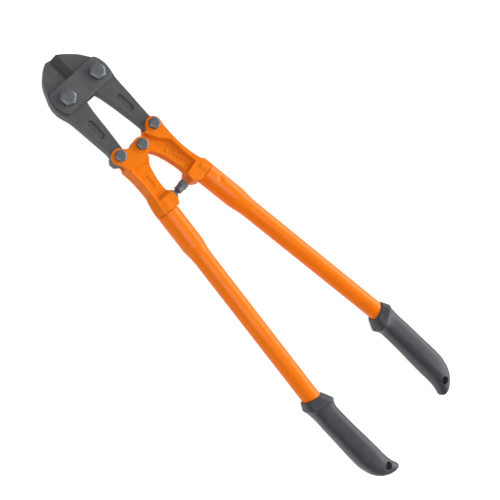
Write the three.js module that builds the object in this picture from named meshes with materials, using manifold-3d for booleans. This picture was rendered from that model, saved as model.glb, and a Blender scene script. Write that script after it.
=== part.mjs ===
// Bolt cutters, 600 mm class, lying flat with the jaws towards +Y and the handles closed.
import * as THREE from 'three';
import * as BufferGeometryUtils from 'three/addons/utils/BufferGeometryUtils.js';
import Module from 'manifold-3d';

// Position of the centre pivot in the part's frame (mm).
const PIVOT_X = 1.35;
const PIVOT_Y = 171.5;
const MID_Z = 17.0;

// Pivots, measured from the centre pivot. Left is the mirror image of right, apart from the
// jaw and casting outlines and the lean of the tubes, which differ a little.
const JAW_PIVOT_X = 22.2;
const JAW_PIVOT_Y = 86.9;
const TAIL_PIVOT_X = 27.1;
const TAIL_PIVOT_Y = 7.0;

// Plates and castings.
const JAW_HALF = 6.0;
const EDGE_GAP = 0.35;
const EDGE_LINE_X = -1.0;
const EDGE_BEVEL = 6.8;
const TAIL_RADIUS = 8.9;
const STRAP_GAP = 0.3;
const STRAP_THICKNESS = 4.9;
const HEAD_HALF = 12.0;
const FORK_HALF = 6.3;
const TONGUE_HALF = 5.9;
const WEB_HALF = 6.0;
const EAR_RADIUS = 9.2;
const BOSS_RADIUS = 9.2;
const TONGUE_RADIUS = 9.0;
const TAIL_SLOT_RADIUS = 10.3;
const BOSS_SLOT_RADIUS = 10.7;
const BOSS_STEP_RADIUS = 13.4;

// Fasteners: shank radius, head width across flats, head height.
const JAW_BOLT = { shank: 5.0, flats: 16.4, head: 6.4, nut: 5.5 };
const TAIL_BOLT = { shank: 4.0, flats: 12.0, head: 5.2, nut: 4.6 };
const HOLE_CLEARANCE = 0.3;
const OPEN_PIVOT_CLEARANCE = 1.6;
const STOP_Y = -62.0;
const STOP_END_X = 9.2;
const SOCKET_INNER_X = 13.3;
const STOP_SHANK = 3.0;

// Handle tubes: axis starts at the socket and leans outwards.
const LEFT_AXIS = { x: 30.2, y: -70.9, lean: 0.143 };
const RIGHT_AXIS = { x: 34.6, y: -70.9, lean: 0.1226 };
const TUBE_LENGTH = 357;
const TUBE_RADIUS = 11.0;
const TUBE_MOUTH_RADIUS = 13.0;
const TUBE_WALL = 1.6;
const TUBE_MOUTH_LENGTH = 43;
const TUBE_TAPER_END = 62;
const TANG_RADIUS = 10.9;
const TANG_LENGTH = 30;
const BEND_START = 256;
const BEND_END = 306;
const BEND_ANGLE = 0.098;

// Grips.
const COLLAR_X = 67.2;
const COLLAR_Y = -345.0;
const COLLAR_SLOPE = 0.36;
const COLLAR_RADIUS = 17.0;
const LEFT_GRIP_SHIFT = 1.0;
const RIGHT_GRIP_SHIFT = -1.7;
const LEFT_GRIP_EXTRA = 0.9;
const RIGHT_GRIP_EXTRA = 1.9;
const GRIP_HOLE_X = 64.6;
const GRIP_HOLE_Y = -456.3;
const GRIP_HOLE_RADIUS = 4.6;
const GRIP_BORE = 11.35;

const wasm = await Module();
wasm.setup();

const jawSteel = new THREE.MeshStandardMaterial({ color: 0x4b4c4e, roughness: 0.6, metalness: 0.55 });
const strapSteel = new THREE.MeshStandardMaterial({ color: 0x57585a, roughness: 0.5, metalness: 0.6 });
const boltSteel = new THREE.MeshStandardMaterial({ color: 0x5c636c, roughness: 0.35, metalness: 0.8 });
const headPaint = new THREE.MeshStandardMaterial({ color: 0xe8660c, roughness: 0.45, metalness: 0.1 });
const tubePaint = new THREE.MeshStandardMaterial({ color: 0xe8640a, roughness: 0.25, metalness: 0.1 });
const gripRubber = new THREE.MeshStandardMaterial({ color: 0x3a3c3e, roughness: 0.55, metalness: 0.0 });

function toSolid(geometry) {
  const bare = geometry.clone();
  bare.deleteAttribute('normal');
  bare.deleteAttribute('uv');
  const merged = BufferGeometryUtils.mergeVertices(bare, 1e-4);
  const mesh = new wasm.Mesh({
    numProp: 3,
    vertProperties: new Float32Array(merged.attributes.position.array),
    triVerts: new Uint32Array(merged.index.array),
  });
  return new wasm.Manifold(mesh);
}

function toGeometry(solid) {
  const mesh = solid.getMesh();
  const geometry = new THREE.BufferGeometry();
  geometry.setAttribute('position', new THREE.BufferAttribute(new Float32Array(mesh.vertProperties), 3));
  geometry.setIndex(new THREE.BufferAttribute(new Uint32Array(mesh.triVerts), 1));
  const flat = geometry.toNonIndexed();
  flat.computeVertexNormals();
  return flat;
}

function shapeOf(points) {
  return new THREE.Shape(points.map(([x, y]) => new THREE.Vector2(x, y)));
}

function smoothShape(points) {
  const curve = new THREE.CatmullRomCurve3(
    points.map(([x, y]) => new THREE.Vector3(x, y, 0)),
    false,
    'centripetal',
  );
  return curve.getPoints(points.length * 2).map((p) => [p.x, p.y]);
}

// Straight prism between two heights.
function slab(points, low, high) {
  const geometry = new THREE.ExtrudeGeometry(shapeOf(points), { depth: high - low, bevelEnabled: false });
  geometry.translate(0, 0, low);
  return toSolid(geometry);
}

// Prism whose outline shrinks by the edge break at both faces.
function chamferedSlab(points, low, high, edge, segments = 1) {
  const geometry = new THREE.ExtrudeGeometry(shapeOf(points), {
    depth: high - low - 2 * edge,
    bevelEnabled: true,
    bevelThickness: edge,
    bevelSize: edge,
    bevelOffset: -edge,
    bevelSegments: segments,
  });
  geometry.translate(0, 0, low + edge);
  return toSolid(geometry);
}

// Cutter that is narrow at its floor and opens out towards the face.
function taperedCutter(points, floor, face, flare) {
  const geometry = new THREE.ExtrudeGeometry(shapeOf(points), {
    depth: 8,
    bevelEnabled: true,
    bevelThickness: face - floor,
    bevelSize: flare,
    bevelOffset: -flare,
    bevelSegments: 1,
  });
  geometry.translate(0, 0, face);
  return toSolid(geometry);
}

function disc(x, y, radius, low, high, segments = 48) {
  const geometry = new THREE.CylinderGeometry(radius, radius, high - low, segments);
  geometry.rotateX(Math.PI / 2);
  geometry.translate(x, y, (low + high) / 2);
  return toSolid(geometry);
}

function block(x0, x1, y0, y1, z0, z1) {
  const geometry = new THREE.BoxGeometry(x1 - x0, y1 - y0, z1 - z0);
  geometry.translate((x0 + x1) / 2, (y0 + y1) / 2, (z0 + z1) / 2);
  return toSolid(geometry);
}

function mirrored(solid) {
  return solid.mirror([1, 0, 0]);
}

function bothFaces(cutter) {
  return cutter.add(cutter.mirror([0, 0, 1]));
}

// Hexagonal prism along Z with its corners turned down at one or both ends.
function hexBody(flats, low, high, chamferTop, chamferBottom) {
  const corner = flats / Math.sqrt(3);
  const prism = new THREE.CylinderGeometry(corner, corner, high - low, 6);
  prism.rotateX(Math.PI / 2);
  prism.translate(0, 0, (low + high) / 2);
  const inner = flats / 2 - 0.3;
  const drop = (corner + 0.2 - inner) * 0.5;
  const profile = [new THREE.Vector2(0, low)];
  profile.push(new THREE.Vector2(chamferBottom ? inner : corner + 0.2, low));
  profile.push(new THREE.Vector2(corner + 0.2, chamferBottom ? low + drop : low + 0.01));
  profile.push(new THREE.Vector2(corner + 0.2, chamferTop ? high - drop : high - 0.01));
  profile.push(new THREE.Vector2(chamferTop ? inner : corner + 0.2, high));
  profile.push(new THREE.Vector2(0, high));
  const turned = new THREE.LatheGeometry(profile, 24);
  turned.rotateX(Math.PI / 2);
  turned.scale(1, -1, 1);
  return toSolid(prism).intersect(toLathed(turned));
}

// A lathed profile may come out facing inwards, so the winding is put right by its volume.
function toLathed(geometry) {
  const solid = toSolid(geometry);
  if (solid.volume() > 0) {
    return solid;
  }
  const flipped = geometry.clone();
  const index = flipped.index.array;
  for (let i = 0; i < index.length; i += 3) {
    const keep = index[i];
    index[i] = index[i + 1];
    index[i + 1] = keep;
  }
  return toSolid(flipped);
}

function lathedAlongZ(profile, segments = 24) {
  const turned = new THREE.LatheGeometry(profile.map(([r, z]) => new THREE.Vector2(r, z)), segments);
  turned.rotateX(Math.PI / 2);
  return toLathed(turned);
}

function hexBolt(size, headBase, end) {
  const head = hexBody(size.flats, headBase, headBase + size.head, true, false);
  const shank = lathedAlongZ([
    [0, headBase + 1],
    [size.shank, headBase + 1],
    [size.shank, end + 0.6],
    [size.shank - 0.6, end],
    [0, end],
  ]);
  return head.add(shank);
}

function hexNut(size, top) {
  const body = hexBody(size.flats, top - size.nut, top, false, true);
  const bore = disc(0, 0, size.shank + HOLE_CLEARANCE, top - size.nut - 2, top + 2, 24);
  return body.subtract(bore);
}

// Outer and inner edges of each jaw, from the tip down to the tail, as if it were the right one.
const RIGHT_JAW = {
  edge: EDGE_LINE_X + EDGE_GAP,
  nose: [
    [4.8, 128.4], [8.9, 126.1], [14.9, 121.8], [21.2, 116.5], [26.4, 111.2], [30.2, 106.0], [33.2, 102.0],
    [36.0, 97.5], [38.0, 92.5], [38.8, 87.0], [38.5, 81.0], [37.2, 75.0], [35.9, 69.0], [34.9, 50.0],
    [33.6, 30.0], [33.1, 20.0], [32.8, 14.2],
  ],
  inside: [
    [18.6, 7.0], [18.3, 13.0], [17.4, 21.0], [14.6, 40.0], [13.0, 50.0], [11.1, 60.0], [9.2, 68.0],
    [6.6, 75.0], [3.0, 81.0], [0.6, 85.0], [-0.4, 89.0],
  ],
};
const LEFT_JAW = {
  edge: EDGE_GAP - EDGE_LINE_X,
  nose: [
    [11.0, 128.4], [15.6, 125.5], [19.5, 122.2], [23.4, 118.9], [26.8, 115.2], [29.7, 111.0], [32.1, 106.5],
    [34.2, 102.0], [36.4, 97.5], [38.2, 92.3], [39.0, 87.0], [38.8, 81.6], [37.5, 76.4], [35.9, 71.2],
    [34.7, 65.0], [33.5, 50.0], [32.1, 30.0], [31.4, 20.0], [31.8, 14.0],
  ],
  inside: [
    [18.0, 7.0], [16.6, 13.0], [15.5, 20.0], [12.6, 40.0], [11.4, 50.0], [9.9, 60.0], [8.4, 68.0],
    [6.4, 75.0], [4.2, 80.0], [2.4, 85.0], [1.6, 89.0],
  ],
};

// One jaw: curved blade, straight arm and rounded tail, with a pressed oblong recess on each face.
function jawBody(form) {
  const outline = [[form.edge, 128.4], ...smoothShape(form.nose), [TAIL_PIVOT_X, TAIL_PIVOT_Y]];
  outline.push(...smoothShape(form.inside), [form.edge, 93.0]);
  let solid = chamferedSlab(outline, -JAW_HALF, JAW_HALF, 0.6);
  solid = solid.add(disc(TAIL_PIVOT_X, TAIL_PIVOT_Y, TAIL_RADIUS, -JAW_HALF, JAW_HALF, 40));
  const bevel = new THREE.Shape([
    new THREE.Vector2(form.edge - 4, 0.1),
    new THREE.Vector2(form.edge, 0.1),
    new THREE.Vector2(form.edge + EDGE_BEVEL, JAW_HALF + 0.1),
    new THREE.Vector2(form.edge + EDGE_BEVEL, JAW_HALF + 4),
    new THREE.Vector2(form.edge - 4, JAW_HALF + 4),
  ]);
  const wedge = new THREE.ExtrudeGeometry(bevel, { depth: 40, bevelEnabled: false });
  wedge.rotateX(Math.PI / 2);
  wedge.translate(0, 140, 0);
  solid = solid.subtract(bothFaces(toSolid(wedge)));
  solid = solid.subtract(bothFaces(oblongRecess()));
  solid = solid.subtract(disc(JAW_PIVOT_X, JAW_PIVOT_Y, JAW_BOLT.shank + HOLE_CLEARANCE, -20, 20, 24));
  solid = solid.subtract(disc(TAIL_PIVOT_X, TAIL_PIVOT_Y, TAIL_BOLT.shank + HOLE_CLEARANCE, -20, 20, 24));
  return solid;
}

// Oblong sunk panel in the arm, with plain raised bars left standing inside it.
function oblongRecess() {
  const shape = new THREE.Shape();
  shape.absarc(0, 7.4, 4.2, 0, Math.PI, false);
  shape.absarc(0, -7.4, 4.2, Math.PI, 2 * Math.PI, false);
  const geometry = new THREE.ExtrudeGeometry(shape, { depth: 6, bevelEnabled: false, curveSegments: 7 });
  let cutter = toSolid(geometry);
  for (const y of [-4.4, 0, 4.4]) {
    cutter = cutter.subtract(block(-2.0, 2.0, y - 1.2, y + 1.2, -1, 0.5));
  }
  return cutter.rotate([0, 0, 3]).translate([22.9, 44.8, JAW_HALF - 1.1]);
}

function strap(sign) {
  const outline = [
    [-31, 102.0], [31, 102.0], [33.6, 100.2], [35.6, 96.0], [36.8, 91.0], [37.1, 87.0], [36.6, 82.0],
    [35.2, 77.5], [33.2, 74.4], [31, 73.0], [-31, 73.0], [-33.2, 74.4], [-35.2, 77.5], [-36.6, 82.0],
    [-37.1, 87.0], [-36.8, 91.0], [-35.6, 96.0], [-33.6, 100.2],
  ];
  const low = JAW_HALF + STRAP_GAP;
  let solid = chamferedSlab(outline.reverse(), low, low + STRAP_THICKNESS, 0.8);
  for (const x of [-JAW_PIVOT_X, JAW_PIVOT_X]) {
    solid = solid.subtract(disc(x, JAW_PIVOT_Y, JAW_BOLT.shank + HOLE_CLEARANCE, 0, 20, 24));
  }
  return sign > 0 ? solid : solid.mirror([0, 0, 1]);
}

// Edges of the two cast handle heads, from the socket to the ear and from the boss to the socket,
// as if each were the right one.
const RIGHT_CASTING = {
  axis: RIGHT_AXIS,
  outer: [
    [43.4, -70.0], [40.9, -60.0], [37.6, -50.0], [35.5, -40.0], [34.3, -31.0], [33.9, -22.0], [34.1, -12.0],
    [34.7, -2.0],
  ],
  inner: [
    [4.2, -11.4], [7.4, -16.0], [9.9, -21.6], [12.4, -29.0], [14.4, -37.0], [16.0, -45.0], [16.6, -51.0],
    [15.0, -55.6],
  ],
  mouth: [[17.2, -69.8], [21.6, -72.8]],
};
const LEFT_CASTING = {
  axis: LEFT_AXIS,
  outer: [
    [38.6, -70.4], [36.3, -60.0], [34.0, -50.0], [32.6, -40.0], [31.6, -30.0], [31.1, -20.0], [31.5, -10.0],
    [32.8, -2.0],
  ],
  inner: [
    [2.4, -11.4], [5.2, -16.0], [8.2, -21.6], [10.6, -29.0], [13.0, -37.0], [14.4, -45.0], [14.8, -51.0],
    [13.6, -55.4],
  ],
  mouth: [[15.2, -69.4], [18.0, -73.4]],
};

function headOutline(form, toBoss) {
  const ear = [];
  for (let i = 0; i <= 12; i += 1) {
    const a = THREE.MathUtils.degToRad(-8 + i * 14.0);
    ear.push([TAIL_PIVOT_X + EAR_RADIUS * Math.cos(a), TAIL_PIVOT_Y + EAR_RADIUS * Math.sin(a)]);
  }
  const boss = [];
  for (let i = 0; i <= 14; i += 1) {
    const a = THREE.MathUtils.degToRad(50 + i * 16.0);
    boss.push([toBoss * Math.cos(a), toBoss * Math.sin(a)]);
  }
  return [
    ...form.outer,
    ...ear,
    [16.2, 8.4], [13.2, 6.9], [10.2, 7.0], [7.4, 7.6],
    ...boss,
    ...form.inner,
    [SOCKET_INNER_X, -57.2], [SOCKET_INNER_X, -66.6],
    ...form.mouth,
  ];
}

// Straight tube or rod along the handle axis, bent inwards under the grip like the handle tube.
function handleTurning(profile, segments, axis) {
  const turned = new THREE.LatheGeometry(profile.map(([r, s]) => new THREE.Vector2(r, -s)), segments);
  const position = turned.attributes.position;
  for (let i = 0; i < position.count; i += 1) {
    const s = -position.getY(i);
    const past = Math.min(Math.max(s - BEND_START, 0), BEND_END - BEND_START);
    const beyond = Math.max(s - BEND_END, 0);
    const shift = (BEND_ANGLE * past * past) / (2 * (BEND_END - BEND_START)) + BEND_ANGLE * beyond;
    position.setX(i, position.getX(i) - shift);
  }
  turned.rotateZ(Math.asin(axis.lean));
  turned.translate(axis.x, axis.y, 0);
  return toLathed(turned);
}

function bendRings(radius, from, to) {
  const rings = [];
  const steps = 5;
  for (let i = 0; i <= steps; i += 1) {
    const s = from + ((to - from) * i) / steps;
    rings.push([radius, s]);
  }
  return rings;
}

function handleTube(side) {
  const inner = TUBE_RADIUS - TUBE_WALL;
  const mouth = TUBE_MOUTH_RADIUS - TUBE_WALL;
  const outerRings = bendRings(TUBE_RADIUS, BEND_START, BEND_END);
  const innerRings = bendRings(inner, BEND_START, BEND_END).reverse();
  const profile = [
    [mouth, 0.4],
    [TUBE_MOUTH_RADIUS, 0.4],
    [TUBE_MOUTH_RADIUS, TUBE_MOUTH_LENGTH],
    [TUBE_RADIUS + 1.2, TUBE_MOUTH_LENGTH + 8],
    [TUBE_RADIUS + 0.3, TUBE_TAPER_END - 4],
    [TUBE_RADIUS, TUBE_TAPER_END + 3],
    ...outerRings,
    [TUBE_RADIUS, TUBE_LENGTH],
    [inner, TUBE_LENGTH],
    ...innerRings,
    [inner, TUBE_TAPER_END + 3],
    [inner + 1.2, TUBE_MOUTH_LENGTH + 8],
    [mouth, TUBE_MOUTH_LENGTH],
    [mouth, 0.4],
  ];
  const tube = handleTurning(profile, 30, side < 0 ? LEFT_AXIS : RIGHT_AXIS);
  if (side < 0) {
    return mirrored(tube);
  }
  // Crimp that locks the right tube on its tang.
  const dent = new THREE.SphereGeometry(5, 16, 10);
  dent.scale(1, 1.2, 1);
  dent.translate(37.6, -86.5, TUBE_MOUTH_RADIUS + 3.4);
  return tube.subtract(toSolid(dent));
}

function headBlank(form, bossRadius) {
  const outline = headOutline(form, bossRadius);
  let solid = chamferedSlab(outline, -HEAD_HALF, HEAD_HALF, 0.9);
  const socket = handleTurning(
    [[0, -13], [11.8, -13], [TUBE_MOUTH_RADIUS, -10], [TUBE_MOUTH_RADIUS, 0], [0, 0]],
    30,
    form.axis,
  );
  solid = solid.add(socket);
  const tang = handleTurning([[0, -2], [TANG_RADIUS, -2], [TANG_RADIUS, TANG_LENGTH - 2],
    [TANG_RADIUS - 2, TANG_LENGTH], [0, TANG_LENGTH]], 32, form.axis);
  const face = handleTurning([[0, 0], [22, 0], [22, 20], [0, 20]], 24, form.axis);
  solid = solid.subtract(face).add(tang);
  const slot = disc(TAIL_PIVOT_X, TAIL_PIVOT_Y, TAIL_SLOT_RADIUS, -FORK_HALF, FORK_HALF, 40);
  solid = solid.subtract(slot);
  const swing = slab([[17.4, 7], [TAIL_PIVOT_X, 4], [60, 4], [60, 40], [17.4, 40]], -FORK_HALF, FORK_HALF);
  solid = solid.subtract(swing);
  solid = solid.subtract(disc(TAIL_PIVOT_X, TAIL_PIVOT_Y, TAIL_BOLT.shank + HOLE_CLEARANCE, -20, 20, 24));
  return solid;
}

// Left head: forked boss over the centre pivot and a threaded seat for the stop bolt.
function headLeft() {
  let solid = headBlank(LEFT_CASTING, BOSS_RADIUS);
  const pocket = [
    [26.2, -11.6], [4.0, -15.9], [4.0, -56.8], [12.0, -56.8], [31.4, -55.4], [32.6, -49.0], [31.2, -40.0],
    [30.2, -30.0], [29.7, -20.0], [29.5, -14.0],
  ];
  solid = solid.subtract(bothFaces(taperedCutter(pocket.reverse(), WEB_HALF, HEAD_HALF, 3.8)));
  solid = solid.subtract(disc(0, 0, BOSS_SLOT_RADIUS, -FORK_HALF, FORK_HALF, 40));
  solid = solid.subtract(disc(0, 0, TAIL_BOLT.shank + HOLE_CLEARANCE, -20, 20, 24));
  const seat = new THREE.CylinderGeometry(STOP_SHANK + HOLE_CLEARANCE, STOP_SHANK + HOLE_CLEARANCE, 22, 24);
  seat.rotateZ(Math.PI / 2);
  seat.translate(SOCKET_INNER_X + 10, STOP_Y, 0);
  solid = solid.subtract(toSolid(seat));
  return mirrored(solid);
}

// Right head: single tongue that runs inside the left fork, and the pad the stop bolt meets.
function headRight() {
  let solid = headBlank(RIGHT_CASTING, TONGUE_RADIUS);
  const low = taperedCutter(
    [[13.0, 5.0], [16.5, -1.0], [19.0, -6.5], [29.0, -17.0], [29.4, -34.0], [31.8, -53.0], [12.0, -56.4],
      [-2.0, -56.4], [-14.0, -8.0], [-14.0, 14.0], [4.0, 14.0]].reverse(),
    TONGUE_HALF,
    HEAD_HALF,
    2.2,
  );
  solid = solid.subtract(bothFaces(low));
  const step = disc(0, 0, BOSS_STEP_RADIUS, TONGUE_HALF, 20, 40);
  solid = solid.subtract(bothFaces(step));
  solid = solid.subtract(disc(0, 0, TAIL_BOLT.shank + OPEN_PIVOT_CLEARANCE, -20, 20, 24));
  return solid;
}

// Grip body: each row gives Y, inner X, outer X and half thickness; the section is a soft octagon.
// The outer side of the neck is widened to keep a wall over the tube.
function gripBody(extra) {
  const rows = [
    [-346, 55.0, 81.0, 13.4], [-358, 55.5, 81.4, 13.5], [-372, 56.0, 82.2, 13.8], [-392, 56.5, 83.5, 14.3],
    [-412, 56.4, 85.2, 14.9], [-426, 56.3, 86.2, 15.0], [-436, 56.3, 86.0, 14.8], [-444, 56.2, 85.0, 14.0],
    [-450, 55.9, 83.5, 13.0], [-456, 55.3, 80.8, 11.8], [-460.5, 54.2, 77.6, 10.8], [-464, 53.0, 74.0, 9.9],
    [-467, 51.9, 70.0, 9.2], [-469.4, 51.9, 65.6, 8.4], [-471, 53.2, 61.0, 7.2],
  ];
  const top = rows.length - 1;
  const body = new THREE.CylinderGeometry(1, 1, top, 24, top);
  const position = body.attributes.position;
  for (let i = 0; i < position.count; i += 1) {
    const [y, inner, edge, half] = rows[Math.round(top / 2 - position.getY(i))];
    const outer = edge + extra * THREE.MathUtils.clamp((y + 426) / 50, 0, 1);
    const reach = Math.hypot(position.getX(i), position.getZ(i));
    const angle = Math.atan2(position.getZ(i), position.getX(i));
    const across = Math.sign(Math.cos(angle)) * Math.abs(Math.cos(angle)) ** 0.7;
    const upward = Math.sign(Math.sin(angle)) * Math.abs(Math.sin(angle)) ** 0.7;
    const x = (inner + outer) / 2 + reach * across * ((outer - inner) / 2);
    position.setXYZ(i, x, y, reach * upward * half);
  }
  return toSolid(body);
}

// Moulded grip: flared guard ring, swelling body, inward tip with a hanging hole.
function gripOn(axis, shift, extra) {
  let solid = gripBody(extra);
  const ring = new THREE.LatheGeometry(
    [[0, 11.4], [12.1, 11.4], [12.8, 10.8], [COLLAR_RADIUS, 0.8], [COLLAR_RADIUS, -0.8], [14.6, -6.0],
      [13.2, -12.0], [0, -12.0]].map(([r, y]) => new THREE.Vector2(r, y)),
    32,
  );
  ring.scale(1.035, 1, 1);
  ring.applyMatrix4(new THREE.Matrix4().makeShear(COLLAR_SLOPE, 0, 0, 0, 0, 0));
  ring.translate(COLLAR_X, COLLAR_Y, 0);
  solid = solid.add(toLathed(ring)).translate([shift, 0, 0]);
  const bore = handleTurning(
    [[0, 200], [GRIP_BORE, 200], ...bendRings(GRIP_BORE, BEND_START, BEND_END), [GRIP_BORE, TUBE_LENGTH + 1],
      [0, TUBE_LENGTH + 1]],
    30,
    axis,
  );
  solid = solid.subtract(bore);
  return solid.subtract(disc(GRIP_HOLE_X + shift, GRIP_HOLE_Y, GRIP_HOLE_RADIUS, -20, 20, 24));
}

// Stop bolt: screwed into the left socket, pointing across at the right one.
function stopBolt() {
  const head = hexBody(9.6, -1.6, 0, true, false).scale([1, 1, 4.6]).translate([0, 0, STOP_END_X]);
  const collar = lathedAlongZ([[0, -4.4], [4.5, -4.4], [4.8, -4.0], [4.8, 2.2], [4.5, 2.6], [0, 2.6]]);
  const shank = lathedAlongZ([
    [0, -32],
    [STOP_SHANK - 0.5, -32],
    [STOP_SHANK, -31.5],
    [STOP_SHANK, -4],
    [0, -4],
  ]);
  const along = head.add(collar).add(shank);
  return along.rotate([0, 90, 0]).translate([0, STOP_Y, 0]);
}

function stopJamNut() {
  const size = { flats: 10.4, nut: 4.6, shank: STOP_SHANK };
  const nut = hexBody(size.flats, 0, size.nut, true, true);
  const bore = disc(0, 0, size.shank + HOLE_CLEARANCE, -2, size.nut + 2, 24);
  return nut.subtract(bore).rotate([0, 90, 0]).translate([-SOCKET_INNER_X + 0.3, STOP_Y, 0]);
}

const group = new THREE.Group();
group.name = 'bolt_cutters';

const tool = new THREE.Group();
tool.name = 'tool';
tool.position.set(PIVOT_X, PIVOT_Y, MID_Z);
group.add(tool);

function place(name, solid, material) {
  const mesh = new THREE.Mesh(toGeometry(solid), material);
  mesh.name = name;
  tool.add(mesh);
}

function placeBolt(name, size, x, y, base, end, turn) {
  const solid = hexBolt(size, base, end).rotate([0, 0, turn]).translate([x, y, 0]);
  place(name, solid, boltSteel);
}

function placeNut(name, size, x, y, top, turn) {
  const solid = hexNut(size, top).rotate([0, 0, turn]).translate([x, y, 0]);
  place(name, solid, boltSteel);
}

const strapFace = JAW_HALF + STRAP_GAP + STRAP_THICKNESS + 0.3;
const headFace = HEAD_HALF + 0.3;

place('strap_front', strap(1), strapSteel);
place('strap_rear', strap(-1), strapSteel);
placeBolt('jaw_bolt_left', JAW_BOLT, -JAW_PIVOT_X, JAW_PIVOT_Y, strapFace, -16.8, 8);
placeBolt('jaw_bolt_right', JAW_BOLT, JAW_PIVOT_X, JAW_PIVOT_Y, strapFace, -16.8, 20);
placeNut('jaw_nut_left', JAW_BOLT, -JAW_PIVOT_X, JAW_PIVOT_Y, -strapFace, 14);
placeNut('jaw_nut_right', JAW_BOLT, JAW_PIVOT_X, JAW_PIVOT_Y, -strapFace, 2);

place('jaw_left', mirrored(jawBody(LEFT_JAW)), jawSteel);
place('jaw_right', jawBody(RIGHT_JAW), jawSteel);

place('handle_head_left', headLeft(), headPaint);
place('handle_head_right', headRight(), headPaint);
placeBolt('tail_bolt_left', TAIL_BOLT, -TAIL_PIVOT_X, TAIL_PIVOT_Y, headFace, -16.8, 12);
placeBolt('tail_bolt_right', TAIL_BOLT, TAIL_PIVOT_X, TAIL_PIVOT_Y, headFace, -16.8, 25);
placeNut('tail_nut_left', TAIL_BOLT, -TAIL_PIVOT_X, TAIL_PIVOT_Y, -headFace, 5);
placeNut('tail_nut_right', TAIL_BOLT, TAIL_PIVOT_X, TAIL_PIVOT_Y, -headFace, 17);
placeBolt('centre_bolt', TAIL_BOLT, 0, 0, headFace, -16.8, 0);
placeNut('centre_nut', TAIL_BOLT, 0, 0, -headFace, 9);
place('stop_bolt', stopBolt(), boltSteel);
place('stop_jam_nut', stopJamNut(), boltSteel);

place('handle_tube_left', handleTube(-1), tubePaint);
place('handle_tube_right', handleTube(1), tubePaint);
place('grip_left', mirrored(gripOn(LEFT_AXIS, LEFT_GRIP_SHIFT, LEFT_GRIP_EXTRA)), gripRubber);
place('grip_right', gripOn(RIGHT_AXIS, RIGHT_GRIP_SHIFT, RIGHT_GRIP_EXTRA), gripRubber);

export default group;
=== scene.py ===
import math

import bmesh
import bpy
from mathutils import Matrix, Vector


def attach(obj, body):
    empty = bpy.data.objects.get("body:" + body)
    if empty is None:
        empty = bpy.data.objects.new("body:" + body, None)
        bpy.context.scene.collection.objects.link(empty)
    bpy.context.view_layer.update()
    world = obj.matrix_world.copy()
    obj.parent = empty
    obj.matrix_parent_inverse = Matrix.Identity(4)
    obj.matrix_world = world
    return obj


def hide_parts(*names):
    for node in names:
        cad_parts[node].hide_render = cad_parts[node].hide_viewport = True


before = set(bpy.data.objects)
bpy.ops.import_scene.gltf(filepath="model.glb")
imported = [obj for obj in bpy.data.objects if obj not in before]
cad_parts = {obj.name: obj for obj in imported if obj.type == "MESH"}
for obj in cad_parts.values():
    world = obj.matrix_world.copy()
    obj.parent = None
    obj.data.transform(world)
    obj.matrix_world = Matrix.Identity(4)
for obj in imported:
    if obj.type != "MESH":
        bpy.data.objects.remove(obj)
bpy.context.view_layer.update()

# ---------------------------------------------------------------------------
# Camera, floor and light.
# The tool lies on a plain white bench. The camera stands over its left side,
# and looks down along the tool from the jaws to the grips.
# ---------------------------------------------------------------------------
PIVOT = Vector((0.00135, 0.1715, 0.017))

camera_data = bpy.data.cameras.new("camera")
camera_data.lens = 52.0
camera_data.sensor_width = 36.0
camera_data.clip_end = 20.0
camera = bpy.data.objects.new("camera", camera_data)
bpy.context.scene.collection.objects.link(camera)
looking = Vector((0.3673, -0.1870, -0.9111)).normalized()
upward = Vector((0.7051, 0.6949, 0.1416))
upward = (upward - looking * upward.dot(looking)).normalized()
sideways = looking.cross(upward)
camera.matrix_world = Matrix.Translation(PIVOT + Vector((-0.29425, -0.01413, 0.74709))) @ Matrix(
    (sideways, upward, -looking)
).transposed().to_4x4()
bpy.context.scene.camera = camera

scene = bpy.context.scene
scene.view_settings.view_transform = "Standard"
scene.view_settings.look = "None"

floor_mesh = bpy.data.meshes.new("bench_top")
bm = bmesh.new()
bmesh.ops.create_grid(bm, x_segments=1, y_segments=1, size=4.0)
bmesh.ops.translate(bm, verts=bm.verts, vec=(0.0, 0.0, -0.0004))
bm.to_mesh(floor_mesh)
bm.free()
floor = bpy.data.objects.new("bench_top", floor_mesh)
scene.collection.objects.link(floor)
floor_paint = bpy.data.materials.new("bench_white")
floor_paint.use_nodes = True
floor_shader = floor_paint.node_tree.nodes["Principled BSDF"]
floor_shader.inputs["Base Color"].default_value = (0.35, 0.35, 0.35, 1.0)
floor_shader.inputs["Roughness"].default_value = 0.9
floor_shader.inputs["Emission Color"].default_value = (1.0, 1.0, 1.0, 1.0)
floor_shader.inputs["Emission Strength"].default_value = 0.80
floor_mesh.materials.append(floor_paint)

world = bpy.data.worlds.new("studio")
world.use_nodes = True
world.node_tree.nodes["Background"].inputs["Color"].default_value = (1.0, 1.0, 1.0, 1.0)
world.node_tree.nodes["Background"].inputs["Strength"].default_value = 0.42
scene.world = world


def softbox(name, place, aim, width, height, power):
    data = bpy.data.lights.new(name, "AREA")
    data.shape = "RECTANGLE"
    data.size = width
    data.size_y = height
    data.energy = power
    lamp = bpy.data.objects.new(name, data)
    scene.collection.objects.link(lamp)
    lamp.location = place
    lamp.rotation_mode = "QUATERNION"
    lamp.rotation_quaternion = (Vector(aim) - Vector(place)).to_track_quat("-Z", "Y")


softbox("key_light", (1.2, -0.6, 0.75), (0.0, 0.0, 0.0), 2.4, 1.0, 40.0)
softbox("top_light", (-0.6, 0.1, 1.9), (0.0, 0.0, 0.0), 1.2, 1.6, 22.0)


# ---------------------------------------------------------------------------
# Strap plates.
# Two flat bars of pressed steel tie the jaws together, one on each face. Each
# has rounded ends, broken edges and a hole for each jaw bolt.
# ---------------------------------------------------------------------------
MM = 0.001
JAW_BOLT_X = 22.2
JAW_BOLT_Y = 86.9
JAW_BOLT_HOLE = 5.25
STRAP_LOW = 6.3
STRAP_HIGH = 11.2
STRAP_RIM = 0.7


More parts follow.
